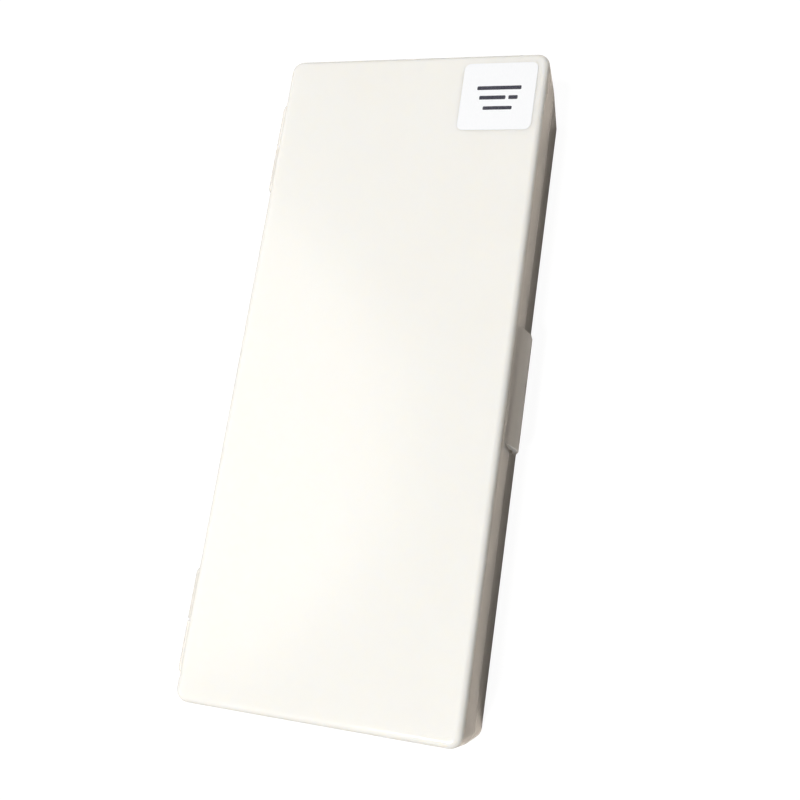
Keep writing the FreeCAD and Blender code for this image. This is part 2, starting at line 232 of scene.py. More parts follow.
class Row(Nodes):
    """A tree that sets copies of a piece out in a row along X.

    The piece's own mesh is one copy, drawn about the point that it turns on. The inputs, in metres and
    radians, are the count and pitch of the row, the height of that point, the lean of the most tilted
    copy and the height of the foot that it leans about, the most that a copy is spun about X, the
    smallest copy's share of full size, the seed of the random numbers and the material.
    """

    INPUTS = {"count": ("Int", 1), "pitch": ("Float", 0.0), "height": ("Float", 0.0), "foot": ("Float", 0.0),
              "lean": ("Float", 0.0), "spin": ("Float", 0.0), "least": ("Float", 1.0), "seed": ("Int", 7),
              "material": ("Material", None)}
    SWAY = 2.4  # radians of the wave that leans the copies, from one copy to the next

    def __init__(self) -> None:
        """Build the tree."""
        super().__init__(bpy.data.node_groups.new("row", "GeometryNodeTree"))
        for way in ("INPUT", "OUTPUT"):
            self.tree.interface.new_socket("mesh", in_out=way, socket_type="NodeSocketGeometry")
        for name, (kind, usual) in self.INPUTS.items():
            socket = self.tree.interface.new_socket(name, in_out="INPUT", socket_type=f"NodeSocket{kind}")
            socket.default_value = usual
        entry = self.tree.nodes.new("NodeGroupInput")
        given = {name: Value(self, entry.outputs[name]) for name in ("mesh", *self.INPUTS)}
        start = self.vector((1 - given["count"]) * given["pitch"] * 0.5, 0.0, given["height"])
        step = self.vector(given["pitch"], 0.0, 0.0)
        sockets = {"Count": given["count"], "Start Location": start, "Offset": step}
        line = self.node("GeometryNodeMeshLine", sockets, mode="OFFSET")
        copies = self.node("GeometryNodeInstanceOnPoints", {
            "Points": line,
            "Instance": given["mesh"],
            "Rotation": self.turn(self.chance(0.0, given["spin"], given["seed"]), 0.0),
            "Scale": self.vector(1.0, *(self.chance(given["least"], 1.0, given["seed"] + k) for k in (1, 2))),
        })
        index = self.node("GeometryNodeInputIndex", {})
        place = self.node("GeometryNodeInputPosition", {})
        across = self.node("ShaderNodeSeparateXYZ", {"Vector": place}, "X")
        leaning = self.node("GeometryNodeRotateInstances", {
            "Instances": copies,
            "Rotation": self.turn(0.0, (index * self.SWAY).wave() * given["lean"]),
            "Pivot Point": self.vector(across, 0.0, given["foot"]),
            "Local Space": False,
        })
        real = self.node("GeometryNodeRealizeInstances", {"Geometry": leaning})
        made = self.node("GeometryNodeSetMaterial", {"Geometry": real, "Material": given["material"]})
        self.node("NodeGroupOutput", {"mesh": made})

    def vector(self, x: Any, y: Any, z: Any) -> Value:
        """A vector from its three parts."""
        return self.node("ShaderNodeCombineXYZ", {"X": x, "Y": y, "Z": z})

    def turn(self, about_x: Any, about_y: Any) -> Value:
        """A rotation about X and Y."""
        return self.node("FunctionNodeEulerToRotation", {"Euler": self.vector(about_x, about_y, 0.0)})

    def chance(self, low: Any, high: Any, seed: Value) -> Value:
        """A random number for each copy."""
        return self.node(
            "FunctionNodeRandomValue", {2: low, 3: high, "Seed": seed}, 1, data_type="FLOAT")

    def set_out(self, piece: Piece, **inputs: Any) -> None:
        """Set a piece out in the row, and make the row a plain mesh.

        Args:
            piece: One copy.
            inputs: The row's inputs, where they aren't as usual.
        """
        row = piece.modifiers.new("row", "NODES")
        row.node_group = self.tree
        for socket in self.tree.interface.items_tree:
            if socket.name in inputs:
                row[socket.identifier] = inputs[socket.name]
        settle(piece)


# ---- Finishes ----


@dataclass(frozen=True)
class Finish:
    """A finish whose colour, roughness and relief follow noise and scattered dots."""

    name: str
    colour: Colour
    shade: Colour
    roughness: float  # at middling noise
    patterns: tuple[Noise, ...]
    dots: Dots | None = None
    relief_mm: float = 0.0
    fixed: Sockets = ()  # those that are the same all over

    def build(self) -> Material:
        """Make the material.

        Returns:
            The material.
        """
        s = Shader(self.name)
        layers = [(pattern, s.noise(pattern)) for pattern in self.patterns]
        tint = sum((noise.ramp(*pattern.ends) if pattern.ends else noise) * pattern.tint
                   for pattern, noise in layers if pattern.tint)
        colour = s.blend(tint, self.colour, self.shade)
        rough = sum(((noise - 0.5) * pattern.rough for pattern, noise in layers if pattern.rough),
                    self.roughness)
        if self.dots:
            dots = s.specks(self.dots)
            colour = s.blend(dots * self.dots.tint, colour, self.dots.colour)
            layers.append((self.dots, dots))
        sockets = {"Base Color": colour, "Roughness": rough, **dict(self.fixed)}
        if self.relief_mm:
            height = sum(value * pattern.relief for pattern, value in layers if pattern.relief)
            sockets["Normal"] = s.bump(height, self.relief_mm)
        return s.principled(sockets)


@dataclass(frozen=True)
class MouldedPlastic(Finish):
    """Cream-white polypropylene with a satin face, a little light passing through it, and dust on it."""

    colour: Colour = (0.935, 0.915, 0.86, 1.0)
    shade: Colour = (0.91, 0.89, 0.83, 1.0)
    roughness: float = 0.17
    patterns: tuple[Noise, ...] = (
        Noise(60.0, 3.0, tint=0.45, ends=(0.35, 0.7)),
        Noise(7.0, 4.0, (3.0, 1.0, 1.0), tint=0.25, rough=0.10, relief=1.5),
        Noise(0.5, rough=0.06, relief=1.0),
    )
    dots: Dots = Dots(19.0, 0.28, (0.97, 0.97, 0.95, 1.0), tint=0.5, relief=2.0)
    relief_mm: float = 0.006
    fixed: Sockets = (
        ("Subsurface Weight", 0.8),
        ("Subsurface Radius", (1.0, 0.95, 0.85)),
        ("Subsurface Scale", 2.5 * MM),
    )


@dataclass(frozen=True)
class Paper(Finish):
    """Paper or thin card with its fibres and flecks."""

    roughness: float = 0.75
    patterns: tuple[Noise, ...] = (
        Noise(0.35, 4.0, (2.5, 1.0, 1.0), tint=0.5, ends=(0.3, 0.75), rough=0.15, relief=1.0),
        Noise(9.0, tint=0.3, relief=4.0),
    )
    dots: Dots = Dots(3.1, 0.07, (0.6, 0.58, 0.52, 1.0), tint=0.3)
    relief_mm: float = 0.006
    fixed: Sockets = (("Specular IOR Level", 0.3),)


@dataclass(frozen=True)
class Ink(Finish):
    """Printing ink, slightly uneven."""

    roughness: float = 0.6
    patterns: tuple[Noise, ...] = (Noise(0.4, 3.0, tint=1.0, ends=(0.45, 0.8), rough=0.1),)
    fixed: Sockets = (("Specular IOR Level", 0.3),)


@dataclass(frozen=True)
class Stain(Finish):
    """A thin section of tissue, stained pink with purple cell nuclei."""

    colour: Colour = (0.80, 0.30, 0.50, 1.0)
    shade: Colour = (0.90, 0.62, 0.74, 1.0)
    roughness: float = 0.45
    patterns: tuple[Noise, ...] = (Noise(1.6, 4.0, tint=1.0, ends=(0.35, 0.65), rough=0.2),)
    dots: Dots = Dots(0.32, 0.10, (0.22, 0.09, 0.38, 1.0), among=Noise(2.4, ends=(0.4, 0.65)))


@dataclass(frozen=True)
class DrawnSteel(Finish):
    """Bright drawn wire, with lines along its length."""

    colour: Colour = (0.62, 0.62, 0.63, 1.0)
    shade: Colour = (0.42, 0.42, 0.44, 1.0)
    roughness: float = 0.35
    patterns: tuple[Noise, ...] = (
        Noise(0.08, 3.0, (60.0, 1.0, 1.0), tint=1.0, ends=(0.4, 0.7), rough=0.2, relief=1.0),
    )
    relief_mm: float = 0.004
    fixed: Sockets = (("Metallic", 1.0),)


@dataclass(frozen=True)
class ClearGlass:
    """Soda-lime glass: clear faces, and cut edges that are rougher, greener and cloudier."""

    name: str
    face: Colour = (0.86, 0.92, 0.90, 1.0)
    edge: Colour = (0.56, 0.74, 0.67, 1.0)
    face_roughness: float = 0.03
    edge_roughness: float = 0.38
    face_cover: float = 0.10
    edge_cover: float = 0.75
    smear_cover: float = 0.04
    facing: Pair = (0.5, 0.9)  # the normal's part along X at a cut edge and at a face
    saw: Noise = Noise(0.12, stretch=(1.0, 14.0, 14.0), rough=0.15)
    saw_depth_mm: float = 0.01
    smear: Noise = Noise(9.0, 3.0, rough=0.03)
    refraction: float = 1.52

    def build(self) -> Material:
        """Make the material.

        Returns:
            The material.
        """
        s = Shader(self.name)
        normal = s.node("ShaderNodeTexCoord", {}, "Normal")
        cut = 1 - s.node("ShaderNodeSeparateXYZ", {0: normal}, "X").size().ramp(*self.facing)
        saw, smear = s.noise(self.saw), s.noise(self.smear)
        rough = self.face_roughness + cut * self.edge_roughness + smear * self.smear.rough
        return s.principled({
            "Base Color": s.blend(cut, self.face, self.edge),
            "Roughness": rough + cut * saw * self.saw.rough,
            "IOR": self.refraction,
            "Alpha": self.face_cover + cut * (self.edge_cover - self.face_cover) + smear * self.smear_cover,
            "Normal": s.bump(saw * cut, self.saw_depth_mm),
        })


class Palette:
    """Every finish of the box, made once."""

    def __init__(self) -> None:
        """Make the materials."""
        self.plastic = MouldedPlastic("cream_polypropylene").build()
        self.glass = ClearGlass("slide_glass").build()
        self.cover = ClearGlass("cover_glass", edge=(0.75, 0.88, 0.84, 1.0), edge_roughness=0.2,
                                edge_cover=0.5).build()
        self.tissue = Stain("stained_tissue").build()
        self.steel = DrawnSteel("drawn_steel").build()
        self.sticker = Paper("sticker_paper", (0.94, 0.955, 0.975, 1.0), (0.90, 0.92, 0.945, 1.0),
                             roughness=0.6, relief_mm=0.003).build()
        self.slide_label = Paper("slide_label_paper", (0.90, 0.90, 0.87, 1.0),
                                 (0.82, 0.82, 0.78, 1.0)).build()
        self.card = Paper("index_card", (0.90, 0.88, 0.80, 1.0), (0.84, 0.81, 0.72, 1.0)).build()
        self.black_ink = Ink("black_ink", (0.035, 0.035, 0.05, 1.0), (0.10, 0.10, 0.12, 1.0)).build()
        self.blue_ink = Ink("blue_rule_ink", (0.16, 0.27, 0.45, 1.0), (0.28, 0.40, 0.56, 1.0)).build()


# ---- Mesh tools ----


def placed(name: str, data: Any) -> Piece:
    """Put a new object in the scene.

    Args:
        name: Its name.
        data: Its mesh, text, lamp or camera.

    Returns:
        The object.
    """
    piece = bpy.data.objects.new(name, data)
    bpy.context.scene.collection.objects.link(piece)
    return piece


def about(middle: float, half: float) -> Pair:
    """A span that reaches equally far to both sides of its middle."""
    return middle - half, middle + half


def arc(centre: Pair, radius: float, start: float, stop: float, steps: int = 6) -> list[Pair]:
    """Points of an arc in a plane, from one angle in degrees to another."""
    turns = [radians(start + (stop - start) * step / steps) for step in range(steps + 1)]
    return [(centre[0] + radius * cos(turn), centre[1] + radius * sin(turn)) for turn in turns]


def ring(half_x: float, half_y: float, radius: float, z: float, steps: int = 12) -> list[Vector]:
    """Points of a rounded rectangle, anticlockwise seen from above.

    Args:
        half_x: Half its length.
        half_y: Half its width.
        radius: Its corner radius.
        z: Its height.
        steps: How many edges each corner has.

    Returns:
        The points.
    """
    points = []
    for quarter, (way_x, way_y) in enumerate(((1, 1), (-1, 1), (-1, -1), (1, -1))):
        corner = (way_x * (half_x - radius), way_y * (half_y - radius))
        turns = arc(corner, radius, 90 * quarter, 90 * (quarter + 1), steps)
        points += [Vector((x, y, z)) for x, y in turns]
    return points


class Solids:
    """Closed solids in millimetres that become one object."""

    WELD = 1e-5  # points closer than this are one
    SLIVER = 1e-4  # edges shorter than this are taken out
    FLAT = 1e-3  # radians between faces that count as one
    CRISP = radians(30)  # the least angle at an edge that is rounded off
    ROUND = 0.5  # the profile of an edge that is an arc
    FIGURE_HEIGHT = 0.73  # of a figure in text of size 1
    FIGURE_HALF = 0.5  # of its thickness, before it is scaled
    FIGURE_STEPS = 2  # how finely its curves are cut

    def __init__(self) -> None:
        """Start with none."""
        self.mesh = bmesh.new()

    def loft(self, rings: Sequence[Sequence[Vector]]) -> "Solids":
        """Add a skin over rings with the same number of points, and a flat face at each end.

        Args:
            rings: The rings in order.

        Returns:
            These solids.
        """
        rows = [[self.mesh.verts.new(point) for point in points] for points in rings]
        for low, high in zip(rows, rows[1:]):
            for k in range(len(low)):
                self.mesh.faces.new((low[k - 1], low[k], high[k], high[k - 1]))
        self.mesh.faces.new(reversed(rows[0]))
        self.mesh.faces.new(rows[-1])
        return self

    def prism(self, outline: Sequence[Pair], span: Sequence[float]) -> "Solids":
        """Add a solid with an outline of (y, z) points, drawn along X."""
        return self.loft([[Vector((x, y, z)) for y, z in outline] for x in span])

    def plate(self, x: Pair, y: Pair, z: Pair, radius: float, steps: int = 6) -> "Solids":
        """Add a flat plate with rounded corners.

        Args:
            x: Its span along the box.
            y: Its span across the box.
            z: Its span in height.
            radius: Its corner radius.
            steps: How many edges each corner has.

        Returns:
            These solids.
        """
        middle = Vector((sum(x) / 2, sum(y) / 2, 0.0))
        rings = [ring((x[1] - x[0]) / 2, (y[1] - y[0]) / 2, radius, height, steps) for height in z]
        return self.loft([[point + middle for point in points] for points in rings])

    def block(self, *spans: Pair) -> "Solids":
        """Add a plain block from its three spans."""
        for corner in bmesh.ops.create_cube(self.mesh, size=1.0)["verts"]:
            corner.co = Vector([low + (high - low) * (at + 0.5) for (low, high), at in zip(spans, corner.co)])
        return self

    def numbers(self, places: Sequence[tuple[int, Vector]], height: float, thickness: float,
                face_down: bool = False) -> "Solids":
        """Add numbers as thin solids, each centred on its place.

        Args:
            places: Each number and where it stands.
            height: The height of a figure.
            thickness: How thick the figures are.
            face_down: Whether they are read from below, with their tops towards the front.

        Returns:
            These solids.
        """
        holders = []
        for number, _ in places:
            text = bpy.data.curves.new("number", "FONT")
            text.body = str(number)
            text.align_x = text.align_y = "CENTER"
            text.resolution_u = self.FIGURE_STEPS
            text.extrude = self.FIGURE_HALF
            holders.append(placed("number", text))
        bpy.context.view_layer.update()
        graph = bpy.context.evaluated_depsgraph_get()
        turn = Matrix.Rotation(pi if face_down else 0.0, 4, "X")
        scale = height / self.FIGURE_HEIGHT
        size = Matrix.Diagonal((scale, scale, thickness, 1.0))
        for holder, (_, place) in zip(holders, places):
            data = bpy.data.meshes.new_from_object(holder.evaluated_get(graph))
            data.transform(Matrix.Translation(place) @ turn @ size)
            self.mesh.from_mesh(data)
            bpy.data.meshes.remove(data)
            bpy.data.objects.remove(holder)
        verts = self.mesh.verts
        bmesh.ops.remove_doubles(self.mesh, verts=verts, dist=self.SLIVER)
        bmesh.ops.dissolve_limit(self.mesh, angle_limit=self.FLAT, verts=verts, edges=self.mesh.edges)
        return self

    def made(self, name: str, bevel: float = 0.0, segments: int = 3) -> Piece:
        """Make the solids an object, in metres.

        Args:
            name: The object's name.
            bevel: How far its crisp edges are rounded off, or 0.
            segments: How many faces round an edge off.

        Returns:
            The object.
        """
        mesh = self.mesh
        bmesh.ops.remove_doubles(mesh, verts=mesh.verts, dist=self.WELD)
        bmesh.ops.dissolve_degenerate(mesh, edges=mesh.edges, dist=self.SLIVER)
        bmesh.ops.recalc_face_normals(mesh, faces=mesh.faces)
        if bevel:
            crisp = [edge for edge in mesh.edges if edge.calc_face_angle(0.0) > self.CRISP]
            bmesh.ops.bevel(mesh, geom=crisp, offset=bevel, segments=segments, profile=self.ROUND,
                            affect="EDGES")
        bmesh.ops.scale(mesh, vec=(MM, MM, MM), verts=mesh.verts)
        data = bpy.data.meshes.new(name)
        mesh.to_mesh(data)
        mesh.free()
        return placed(name, data)


def settle(piece: Piece) -> None:
    """Apply a piece's modifiers, so that it is a plain mesh.

    Args:
        piece: The piece.
    """
    bpy.context.view_layer.update()
    evaluated = piece.evaluated_get(bpy.context.evaluated_depsgraph_get())
    data = bpy.data.meshes.new_from_object(evaluated)
    piece.modifiers.clear()
    piece.data = data


def join(piece: Piece, other: Piece) -> None:
    """Add another object's faces to a piece.

    Args:
        piece: The piece.
        other: The other object, which is removed.
    """
    mesh = bmesh.new()
    mesh.from_mesh(piece.data)
    mesh.from_mesh(other.data)
    mesh.to_mesh(piece.data)
    mesh.free()
    bpy.data.objects.remove(other)


def combine(piece: Piece, operation: str, *others: Piece) -> None:
    """Add other solids to a piece, or cut them away, one after another.

    Args:
        piece: The piece.
        operation: "UNION" or "DIFFERENCE".
        others: The other solids, which are removed.
    """
    for other in others:
        change = piece.modifiers.new("combine", "BOOLEAN")
        change.operation = operation
        change.solver = "EXACT"
        change.object = other
        settle(piece)
        bpy.data.objects.remove(other)


def smooth(piece: Piece) -> None:
    """Shade curved faces smooth and leave the crisp edges crisp.

    Args:
        piece: The piece.
    """
    piece.data.shade_smooth()
    piece.data.set_sharp_from_angle(angle=SHARP)
    weighted = piece.modifiers.new("weighted", "WEIGHTED_NORMAL")
    weighted.keep_sharp = True
    settle(piece)


def dress(piece: Piece, material: Material, body: Ride, slot: Slot | None,
          *nodes: str) -> None:
    """Give a finished piece its material and its body, and hide the construction nodes that it stands for.

    Args:
        piece: The piece.
        material: What it is made of.
        body: The body that it rides on.
        slot: The record's finish for it, if there is one; not used.
        nodes: The construction nodes that it stands for.
    """
    piece.data.materials.clear()
    piece.data.materials.append(material)
    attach(piece, body.value)
    if nodes:
        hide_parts(*nodes)
    log.info("%s: %d faces on %s", piece.name, len(piece.data.polygons), body.value)


# ---- The box ----


@dataclass(frozen=True)
class Shell:
    """Sizes in millimetres that the tray and the lid share."""

    half_length: float = 103.4925
    half_width: float = 42.5
    rim: float = 19.5
    top: float = 35.0
    wall: float = 2.2
    floor: float = 2.0
    draft: float = 1.4
    corner: float = 4.2
    least_corner: float = 0.35
    skirt: float = 1.025
    lap_gap: float = 0.15
    tongue: float = 1.4
    rim_round: float = 0.3
    edge_steps: int = 10
    rim_steps: int = 4

    def lean(self, rise: float) -> float:
        """How far a drafted wall moves in over a rise."""
        return rise * tan(radians(self.draft))

    def outside(self, edge: float, way: int) -> list[Pair]:
        """The outer part of a half's section, from its flat face round to its rim.

        Args:
            edge: The radius between its flat face and its walls.
            way: 1 for the lid, which is above the rim, and -1 for the tray, which is below.

        Returns:
            Points (inset, height).
        """
        slope = radians(self.draft)
        flat = self.top if way > 0 else 0.0
        centre = self.lean(abs(flat - self.rim) - edge * (1 - sin(slope))) + edge * cos(slope)
        foot = (self.rim_round, self.rim + way * self.rim_round)
        rim = arc(foot, self.rim_round, 180, 180 + way * 90, self.rim_steps)
        rim[0] = (self.lean(self.rim_round), foot[1])
        spring = (centre, flat - way * edge)
        return arc(spring, edge, way * 90, way * (180 - self.draft), self.edge_steps) + rim

    def corner_inside(self, edge: float, spring: float, way: int) -> list[Pair]:
        """The rounded corner between a half's inner wall and its roof or floor, which springs at a height."""
        centre = self.wall + self.lean(abs(spring - self.rim)) + edge
        return arc((centre, spring), edge, 180, 180 - way * 90)

    def rings(self, section: Sequence[Pair]) -> list[list[Vector]]:
        """Outlines of the box for points (inset, height) of its section."""
        return [ring(self.half_length - inset, self.half_width - inset,
                     max(self.corner - inset, self.least_corner), z) for inset, z in section]


@dataclass(frozen=True)
class Knuckle:
    """One of the four knuckles of the two hinges."""

    shell: Shell
    side: int  # 1 on the far hinge and -1 on the near one
    way: int  # 1 for the tray's, which points away from the middle of the box, and -1 for the lid's
    middle: float = 80.1925
    axis_y: float = 46.6
    radius: float = 3.4
    length: float = 16.7
    gap: float = 0.4
    nose: float = 2.6
    nose_steps: int = 14
    lip: float = 0.5
    end_eyes: Pair = (0.4, 0.2)  # the radii of the small flats that close the two ends
    sides: int = 48
    arm_round: float = 0.25
    pin: float = 1.0
    running: float = 0.05
    seat: float = 12.0
    bore_over: float = 0.3
    bore_through: float = 1.0
    bore_sides: int = 41  # odd, so that they don't line up with the barrel's

    def place(self, along: float) -> float:
        """A place on the axis, from how far along the knuckle it is."""
        return self.side * (self.middle + self.way * (self.gap / 2 + along))

    def turned(self, name: str, profile: Sequence[Pair], sides: int) -> Piece:
        """A solid about the axis.

        Args:
            name: Its name.
            profile: Points (how far along, radius) from one end to the other, neither on the axis.
            sides: How many edges go round.

        Returns:
            The solid.
        """
        rings = []
        for along, radius in profile:
            circle = arc((self.axis_y, self.shell.rim), radius, 0, 360, sides)[:-1]
            rings.append([Vector((self.place(along), y, z)) for y, z in circle])
        return Solids().loft(rings).made(name)

    def barrel(self) -> Piece:
        """The barrel, with a small lip at its start and a rounded nose at its end.

        Returns:
            The barrel as a solid.
        """
        lip = arc((self.lip, self.radius - self.lip), self.lip, 180, 90)
        nose = arc((self.length - self.nose, self.radius - self.nose), self.nose, 90, 0, self.nose_steps)
        profile = [(0.0, self.end_eyes[0]), *lip, *nose, (self.length, self.end_eyes[1])]
        return self.turned("barrel", profile, self.sides)

    def arm(self) -> Piece:
        """The sloping web to the wall: down from a tray's knuckle, up from a lid's.

        Returns:
            The web as a solid.
        """
        tangent = self.radius * sqrt(0.5)
        root = self.shell.half_width - self.shell.skirt / 2
        fall = self.axis_y + tangent - root
        rim = self.shell.rim
        outline = [(root, rim), (self.axis_y, rim), (self.axis_y + tangent, rim - self.way * tangent),
                   (root, rim - self.way * (tangent + fall))]
        span = sorted(self.place(along) for along in (0.0, self.length - self.nose))
        return Solids().prism(outline, span).made("arm", self.arm_round)

    def bore(self) -> Piece:
        """The hole for the pin: right through a lid's knuckle, blind in a tray's.

        Returns:
            The hole as a solid.
        """
        radius = self.pin if self.way > 0 else self.pin + self.running
        depth = self.seat if self.way > 0 else self.length + self.bore_through
        return self.turned("bore", [(-self.bore_over, radius), (depth, radius)], self.bore_sides)


def add_knuckles(piece: Piece, shell: Shell, way: int) -> None:
    """Join both of a half's knuckles to it, and bore them.

    Args:
        piece: The tray or the lid.
        shell: Its sizes.
        way: 1 for the tray and -1 for the lid.
    """
    knuckles = [Knuckle(shell, side, way) for side in (1, -1)]
    combine(piece, "UNION", *(solid for knuckle in knuckles for solid in (knuckle.arm(), knuckle.barrel())))
    combine(piece, "DIFFERENCE", *(knuckle.bore() for knuckle in knuckles))


@dataclass(frozen=True)
class Lid:
    """The lid, its latch flap and its two knuckles."""

    palette: Palette
    shell: Shell
    edge: float = 2.1
    roof: float = 2.0
    inner_edge: float = 0.8
    ledge_play: float = 0.2
    crease: float = 0.12
    flap_half: float = 18.0
    flap_gap: float = 0.6
    flap_drop: float = 5.2
    flap_foot: float = 0.9
    flap_flare: float = 11.5
    flap_root: float = 0.8
    flap_back: Pair = (0.05, 0.35)  # how far its back runs up past the rim, at its face and its root
    flap_round: float = 0.28
    lip_proud: float = 2.4
    lip_above: float = 0.8
    lip_below: float = 2.5
    hook_proud: float = 0.3
    hook_height: float = 1.2

    def section(self) -> list[Pair]:
        """The lid's section, from the middle of the top round to the middle of the roof's underside.

        Returns:
            Points (inset, height).
        """
        shell = self.shell
        ledge = shell.rim + shell.tongue + self.ledge_play
        wall = shell.wall + shell.lean(ledge - shell.rim)
        return [
            *shell.outside(self.edge, 1),
            (shell.skirt - self.crease, shell.rim),
            (shell.skirt, shell.rim + self.crease),
            (shell.skirt, ledge),
            (wall - self.crease, ledge),
            (wall, ledge + self.crease),
            *shell.corner_inside(self.inner_edge, shell.top - self.roof - self.inner_edge, 1),
        ]

    def flap(self) -> Piece:
        """The latch flap: it flares from the wall, passes the rim and ends in a hook.

        Returns:
            The flap as a solid.
        """
        shell = self.shell
        face = shell.half_width + self.flap_gap
        lip = shell.half_width + self.lip_proud
        foot = shell.rim - self.flap_drop
        hook = foot + self.hook_height
        outline = [
            (-(shell.half_width - shell.wall / 2), shell.rim + self.flap_flare),
            (-lip, shell.rim + self.lip_above),
            (-lip, shell.rim - self.lip_below),
            (-(face + self.flap_foot), foot),
            (-(face - self.hook_proud), foot),
            (-(face - self.hook_proud), hook),
            (-face, hook + self.hook_proud),
            (-face, shell.rim + self.flap_back[0]),
            (-(shell.half_width - self.flap_root), shell.rim + self.flap_back[1]),
        ]
        return Solids().prism(outline, about(0.0, self.flap_half)).made("flap", self.flap_round)

    def build(self) -> None:
        """Make the lid's shell and dress it."""
        piece = Solids().loft(self.shell.rings(self.section())).made("lid_shell")
        combine(piece, "UNION", self.flap())
        add_knuckles(piece, self.shell, -1)
        smooth(piece)
        dress(piece, self.palette.plastic, Ride.LID, Slot.PLASTIC, "lid")


@dataclass(frozen=True)
class Tray:
    """The base tray, its catch ridge and its two knuckles."""

    palette: Palette
    shell: Shell
    edge: float = 1.7
    inner_edge: float = 0.9
    tongue_lead: float = 0.25
    tongue_ease: float = 0.2
    catch_half: float = 12.0
    catch_drop: float = 1.7
    catch_rise: float = 1.2
    catch_proud: float = 0.15
    catch_flat: float = 0.08
    gate: tuple[Pair, ...] = ((4.0, -0.5), (4.0, 0.12), (3.75, 0.35))  # radius and height, from below
    gate_steps: int = 10

    def section(self) -> list[Pair]:
        """The tray's section, from the middle of the underside round to the middle of the floor.

        Returns:
            Points (inset, height).
        """
        shell = self.shell
        outer = shell.skirt + shell.lap_gap
        peak = shell.rim + shell.tongue
        return [
            *shell.outside(self.edge, -1),
            (outer, shell.rim),
            (outer, peak - self.tongue_lead),
            (outer + self.tongue_lead, peak),
            (shell.wall - self.tongue_ease, peak),
            (shell.wall, peak - self.tongue_ease),
            (shell.wall, shell.rim),
            *shell.corner_inside(self.inner_edge, shell.floor + self.inner_edge, -1),
        ]

    def catch(self) -> Piece:
        """The ridge that the latch flap hooks under.

        Returns:
            The ridge as a solid.
        """
        middle = self.shell.rim - self.catch_drop
        root = self.shell.half_width - self.shell.wall / 2
        peak = self.shell.half_width + self.catch_proud
        outline = [(-root, middle + self.catch_rise), (-peak, middle + self.catch_flat),
                   (-peak, middle - self.catch_flat), (-root, middle - self.catch_rise)]
        return Solids().prism(outline, about(0.0, self.catch_half)).made("catch")

    def gate_mark(self) -> Piece:
        """The round recess round the point where the plastic entered the mould."""
        rings = [ring(radius, radius, radius, z, self.gate_steps) for radius, z in self.gate]
        return Solids().loft(rings).made("gate")

    def build(self) -> None:
        """Make the tray's shell and dress it."""
        piece = Solids().loft(self.shell.rings(self.section())).made("tray_shell")
        combine(piece, "UNION", self.catch())
        combine(piece, "DIFFERENCE", self.gate_mark())
        add_knuckles(piece, self.shell, 1)
        smooth(piece)
        dress(piece, self.palette.plastic, Ride.BASE, Slot.PLASTIC, "base_tray")


@dataclass(frozen=True)
class Slots:
    """The fifty slots of the tray, and how the slides stand in them."""

    palette: Palette
    row: Row
    count: int = 50
    pitch: float = 3.9
    floor: float = 2.0
    rib_top: float = 18.0
    rib_width: float = 2.1
    mouth: float = 35.5
    back: float = 39.4
    nose: float = 0.45
    nose_steps: int = 3
    draft: float = 1.0
    edge_in: float = 0.15
    edge_down: float = 0.2
    bank_face: float = 38.5
    bank_back: float = 41.0
    bank_end: float = 98.55
    sunk: float = 0.2
    number_in: float = 0.95
    number_height: float = 1.15
    number_raised: float = 0.07
    number_sunk: float = 0.02
    lean: float = 0.45

    def rib_ring(self, side: int, inset: float, z: float) -> list[Vector]:
        """A rib's outline.

        Args:
            side: 1 for the hinges' side of the tray and -1 for the latch's.
            inset: How far it is drawn in, all round its nose.
            z: Its height.

        Returns:
            Its points.
        """
        half = self.rib_width / 2 - inset
        bow = arc((half - self.nose, self.mouth + inset + self.nose), self.nose, 0, -90, self.nose_steps)
        bow += [(-x, y) for x, y in reversed(bow)]
        return [Vector((x, side * y, z)) for x, y in ((half, self.back), *bow, (-half, self.back))]

    def ribs(self) -> Solids:
        """A pair of ribs, one on each side of the tray.

        Returns:
            The pair.
        """
        fall = (self.rib_top - self.floor) * tan(radians(self.draft))
        levels = ((0.0, self.floor - self.sunk), (fall, self.rib_top - self.edge_down),
                  (fall + self.edge_in, self.rib_top))
        pair = Solids()
        for side in (1, -1):
            pair.loft([self.rib_ring(side, inset, z) for inset, z in levels])
        return pair

    def banks(self) -> Solids:
        """The two banks that the ribs stand against.

        Returns:
            The banks.
        """
        face, back, top, foot = self.bank_face, self.bank_back, self.rib_top, self.floor - self.sunk
        outline = ((face, foot), (face, top - self.edge_in), (face + self.edge_in, top), (back, top),
                   (back, foot))
        pair = Solids()
        for side in (1, -1):
            pair.prism([(side * y, z) for y, z in outline], about(0.0, self.bank_end))
        return pair

    def places(self) -> list[tuple[int, float]]:
        """Each slot's number and its place along the tray."""
        return [(k + 1, self.pitch * (k - (self.count - 1) / 2)) for k in range(self.count)]

    def numbers(self) -> Solids:
        """The slots' numbers, raised on the front bank.

        Returns:
            The numbers.
        """
        y = -(self.bank_face + self.number_in)
        z = self.rib_top + (self.number_raised - self.number_sunk) / 2
        places = [(number, Vector((x, y, z))) for number, x in self.places()]
        return Solids().numbers(places, self.number_height, self.number_raised + self.number_sunk)

    def build(self) -> None:
        """Make the ribs, the banks and the numbers, and dress them."""
        plastic = self.palette.plastic
        combs = self.ribs().made("slot_combs")
        self.row.set_out(combs, material=plastic, count=self.count + 1, pitch=self.pitch * MM)
        join(combs, self.banks().made("banks"))
        smooth(combs)
        dress(combs, plastic, Ride.BASE, Slot.PLASTIC, "base_tray")
        dress(self.numbers().made("slot_numbers"), plastic, Ride.BASE, Slot.PLASTIC)


